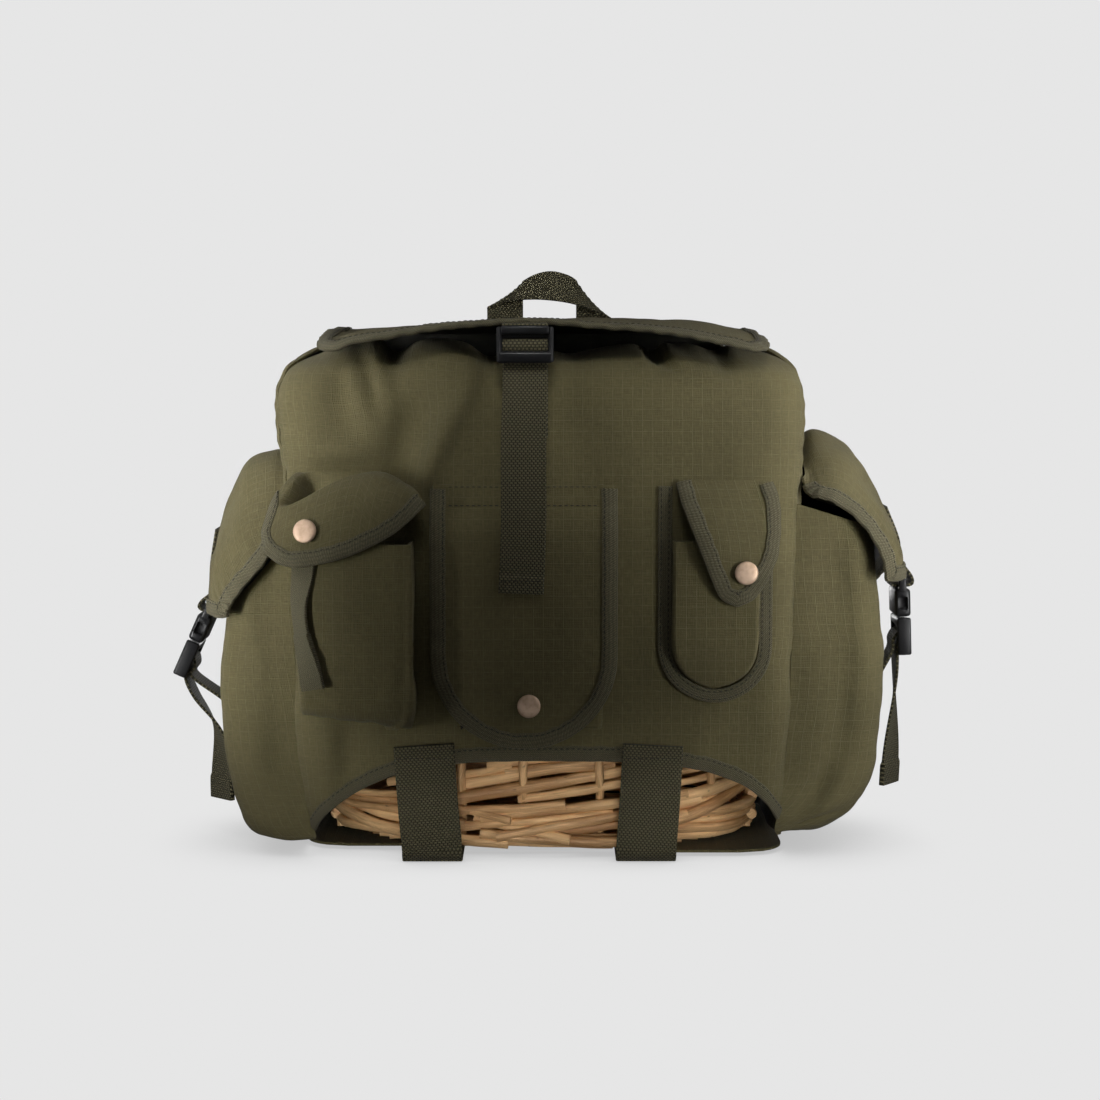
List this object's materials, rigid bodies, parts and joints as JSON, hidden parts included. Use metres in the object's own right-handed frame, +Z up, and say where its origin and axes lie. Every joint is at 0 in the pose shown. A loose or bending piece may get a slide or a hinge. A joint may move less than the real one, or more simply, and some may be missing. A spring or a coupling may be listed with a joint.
{
  "type": "foraging backpack",
  "caption": "Canvas rucksack with a buckled lid, snapped front pockets, buckled side pockets and an open willow basket that shows through an arched window at its base.",
  "frame": {"origin": "on the floor, under the middle of the bounding box", "axes": "+Z up, +X to the right as seen from the front, -Y out of the front with the pockets and the basket window"},
  "size_m": [0.4817, 0.2757, 0.3743],
  "materials": {
    "canvas": "olive ripstop canvas",
    "webbing": "dark olive woven webbing",
    "tape": "olive twill binding tape",
    "willow": "peeled and smoked willow rods",
    "black_plastic": "moulded black",
    "snap_brass": "satin rose-brass snap cap"
  },
  "bodies": {
    "root": {"front_panel": "canvas", "back_panel": "canvas", "base_panel": "canvas", "lid": "canvas", "bellows_pocket": "canvas", "bellows_flap": "canvas", "centre_pocket": "canvas", "centre_flap": "canvas", "sheath_pocket": "canvas", "sheath_flap": "canvas", "side_panel_left": "canvas", "side_panel_right": "canvas", "side_pocket_left": "canvas", "side_pocket_right": "canvas", "side_flap_left": "canvas", "side_flap_right": "canvas", "shoulder_strap_left": "canvas", "shoulder_strap_right": "canvas", "lid_strap": "webbing", "lock_tab": "webbing", "grab_handle": "webbing", "pull_tab": "webbing", "basket_strap_left": "webbing", "basket_strap_right": "webbing", "flap_strap_left": "webbing", "flap_strap_right": "webbing", "buckle_strap_left": "webbing", "buckle_strap_right": "webbing", "shoulder_webbing_left": "webbing", "shoulder_webbing_right": "webbing", "window_binding": "tape", "lid_binding": "tape", "bellows_binding": "tape", "centre_binding": "tape", "sheath_binding": "tape", "sheath_flap_binding": "tape", "side_flap_binding_left": "tape", "side_flap_binding_right": "tape", "basket_wall": "willow", "basket_base": "willow", "ladder_lock": "black_plastic", "buckle_socket_left": "black_plastic", "buckle_socket_right": "black_plastic", "buckle_plug_left": "black_plastic", "buckle_plug_right": "black_plastic", "strap_slider_left": "black_plastic", "strap_slider_right": "black_plastic", "bellows_snap": "snap_brass", "centre_snap": "snap_brass", "sheath_snap": "snap_brass"}
  },
  "joints": []
}
